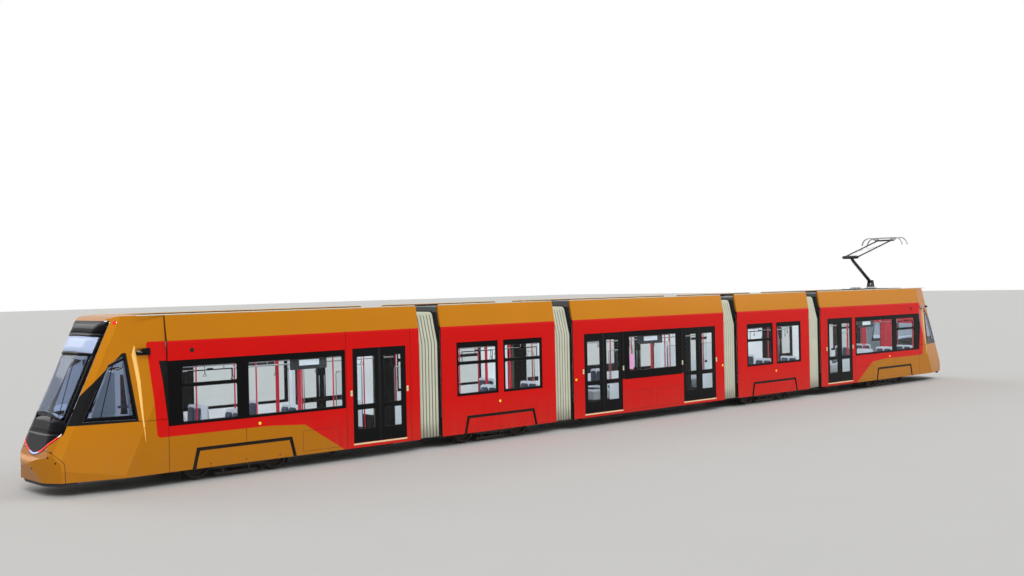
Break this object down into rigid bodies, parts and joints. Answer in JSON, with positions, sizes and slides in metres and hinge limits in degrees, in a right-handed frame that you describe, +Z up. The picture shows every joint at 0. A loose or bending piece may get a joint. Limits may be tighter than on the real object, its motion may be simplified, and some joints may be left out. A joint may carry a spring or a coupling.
{
  "type": "articulated low-floor tram",
  "caption": "Low-floor articulated tram with a cab at each end, cars hinged through bellows, bogies with flanged wheelsets and a folding pantograph.",
  "frame": {"origin": "on the floor under the middle of the tram, at the height of the wheel flanges' tips", "axes": "+X along the tram towards the cab under the pantograph, +Y across it, +Z up"},
  "size_m": [33.5, 2.47, 5.22],
  "materials": {
    "side_paint": "gloss",
    "roof_paint": "gloss",
    "cab_paint": "gloss",
    "dark_screen": "polished",
    "window_dark": "gloss",
    "door_dark": "gloss",
    "floor_grey": "matt",
    "cabin_light": "matt",
    "roof_grey": "satin",
    "lamp_lens": "gloss",
    "bellows": "matt",
    "bogie_steel": "satin",
    "wheel_steel": "worn",
    "pantograph_metal": "satin"
  },
  "bodies": {
    "car_c": {"car_c_doors": "door_dark", "car_c_floor": "floor_grey", "car_c_interior": "cabin_light", "car_c_roof": "roof_paint", "car_c_roof_gear": "roof_grey", "car_c_walls": "side_paint", "car_c_windows": "window_dark", "bellows_bc": "bellows", "bellows_cd": "bellows"},
    "car_b": {"car_b_floor": "floor_grey", "car_b_interior": "cabin_light", "car_b_roof": "roof_paint", "car_b_roof_gear": "roof_grey", "car_b_walls": "side_paint", "car_b_windows": "window_dark", "bellows_ab": "bellows"},
    "car_d": {"car_d_floor": "floor_grey", "car_d_interior": "cabin_light", "car_d_roof": "roof_paint", "car_d_roof_gear": "roof_grey", "car_d_walls": "side_paint", "car_d_windows": "window_dark", "bellows_de": "bellows"},
    "car_a": {"car_a_doors": "door_dark", "car_a_floor": "floor_grey", "car_a_interior": "cabin_light", "car_a_lamps": "lamp_lens", "car_a_nose": "cab_paint", "car_a_roof": "roof_paint", "car_a_roof_gear": "roof_grey", "car_a_screen": "dark_screen", "car_a_walls": "side_paint", "car_a_windows": "window_dark"},
    "car_e": {"car_e_doors": "door_dark", "car_e_floor": "floor_grey", "car_e_interior": "cabin_light", "car_e_lamps": "lamp_lens", "car_e_nose": "cab_paint", "car_e_roof": "roof_paint", "car_e_roof_gear": "roof_grey", "car_e_screen": "dark_screen", "car_e_walls": "side_paint", "car_e_windows": "window_dark", "pantograph_base": "pantograph_metal"},
    "bogie_a": {"bogie_a_frame": "bogie_steel"},
    "wheelset_a1": {"wheelset_a1": "wheel_steel"},
    "wheelset_a2": {"wheelset_a2": "wheel_steel"},
    "bogie_b": {"bogie_b_frame": "bogie_steel"},
    "wheelset_b1": {"wheelset_b1": "wheel_steel"},
    "wheelset_b2": {"wheelset_b2": "wheel_steel"},
    "bogie_d": {"bogie_d_frame": "bogie_steel"},
    "wheelset_d1": {"wheelset_d1": "wheel_steel"},
    "wheelset_d2": {"wheelset_d2": "wheel_steel"},
    "bogie_e": {"bogie_e_frame": "bogie_steel"},
    "wheelset_e1": {"wheelset_e1": "wheel_steel"},
    "wheelset_e2": {"wheelset_e2": "wheel_steel"},
    "panto_lower": {"pantograph_lower_arm": "pantograph_metal"},
    "panto_upper": {"pantograph_upper_arm": "pantograph_metal"},
    "panto_head": {"pantograph_head": "pantograph_metal"}
  },
  "joints": [
    {"name": "articulation_bc", "type": "hinge", "parent": "car_c", "child": "car_b", "pos_m": [-3.475, 0, 0.35], "axis": [0, 0, 1], "range_deg": [-18, 18], "deforming": ["bellows_bc"]},
    {"name": "articulation_cd", "type": "hinge", "parent": "car_c", "child": "car_d", "pos_m": [3.475, 0, 0.35], "axis": [0, 0, -1], "range_deg": [-18, 18], "deforming": ["bellows_cd"]},
    {"name": "articulation_ab", "type": "hinge", "parent": "car_b", "child": "car_a", "pos_m": [-7.865, 0, 0.35], "axis": [0, 0, 1], "range_deg": [-18, 18], "deforming": ["bellows_ab"]},
    {"name": "articulation_de", "type": "hinge", "parent": "car_d", "child": "car_e", "pos_m": [7.865, 0, 0.35], "axis": [0, 0, -1], "range_deg": [-18, 18], "deforming": ["bellows_de"]},
    {"name": "bogie_a_yaw", "type": "hinge", "parent": "car_a", "child": "bogie_a", "pos_m": [-12.72, 0, 0.3], "axis": [0, 0, 1], "range_deg": [-4, 4]},
    {"name": "wheelset_a1_spin", "type": "hinge", "parent": "bogie_a", "child": "wheelset_a1", "pos_m": [-13.62, 0, 0.322], "axis": [0, 1, 0], "continuous": true},
    {"name": "wheelset_a2_spin", "type": "hinge", "parent": "bogie_a", "child": "wheelset_a2", "pos_m": [-11.82, 0, 0.322], "axis": [0, 1, 0], "continuous": true},
    {"name": "bogie_b_yaw", "type": "hinge", "parent": "car_b", "child": "bogie_b", "pos_m": [-5.67, 0, 0.3], "axis": [0, 0, 1], "range_deg": [-4, 4]},
    {"name": "wheelset_b1_spin", "type": "hinge", "parent": "bogie_b", "child": "wheelset_b1", "pos_m": [-6.57, 0, 0.322], "axis": [0, 1, 0], "continuous": true},
    {"name": "wheelset_b2_spin", "type": "hinge", "parent": "bogie_b", "child": "wheelset_b2", "pos_m": [-4.77, 0, 0.322], "axis": [0, 1, 0], "continuous": true},
    {"name": "bogie_d_yaw", "type": "hinge", "parent": "car_d", "child": "bogie_d", "pos_m": [5.67, 0, 0.3], "axis": [0, 0, -1], "range_deg": [-4, 4]},
    {"name": "wheelset_d1_spin", "type": "hinge", "parent": "bogie_d", "child": "wheelset_d1", "pos_m": [4.77, 0, 0.322], "axis": [0, 1, 0], "continuous": true},
    {"name": "wheelset_d2_spin", "type": "hinge", "parent": "bogie_d", "child": "wheelset_d2", "pos_m": [6.57, 0, 0.322], "axis": [0, 1, 0], "continuous": true},
    {"name": "bogie_e_yaw", "type": "hinge", "parent": "car_e", "child": "bogie_e", "pos_m": [12.72, 0, 0.3], "axis": [0, 0, -1], "range_deg": [-4, 4]},
    {"name": "wheelset_e1_spin", "type": "hinge", "parent": "bogie_e", "child": "wheelset_e1", "pos_m": [11.82, 0, 0.322], "axis": [0, 1, 0], "continuous": true},
    {"name": "wheelset_e2_spin", "type": "hinge", "parent": "bogie_e", "child": "wheelset_e2", "pos_m": [13.62, 0, 0.322], "axis": [0, 1, 0], "continuous": true},
    {"name": "pantograph_fold", "type": "hinge", "parent": "car_e", "child": "panto_lower", "pos_m": [13.25, 0, 3.64], "axis": [0, 1, 0], "range_deg": [-31.2, 0]},
    {"name": "pantograph_knee", "type": "hinge", "parent": "panto_lower", "child": "panto_upper", "pos_m": [11.97, 0, 4.51], "axis": [0, 1, 0], "range_deg": [-0.2, 44.5]},
    {"name": "pantograph_head_level", "type": "hinge", "parent": "panto_upper", "child": "panto_head", "pos_m": [14.25, 0, 5.12], "axis": [0, 1, 0], "range_deg": [-13.3, 0.2]}
  ],
  "couplings": [
    {"joint": "pantograph_knee", "follows": "pantograph_fold", "ratio": -1.4199},
    {"joint": "pantograph_head_level", "follows": "pantograph_fold", "ratio": 0.41987}
  ]
}
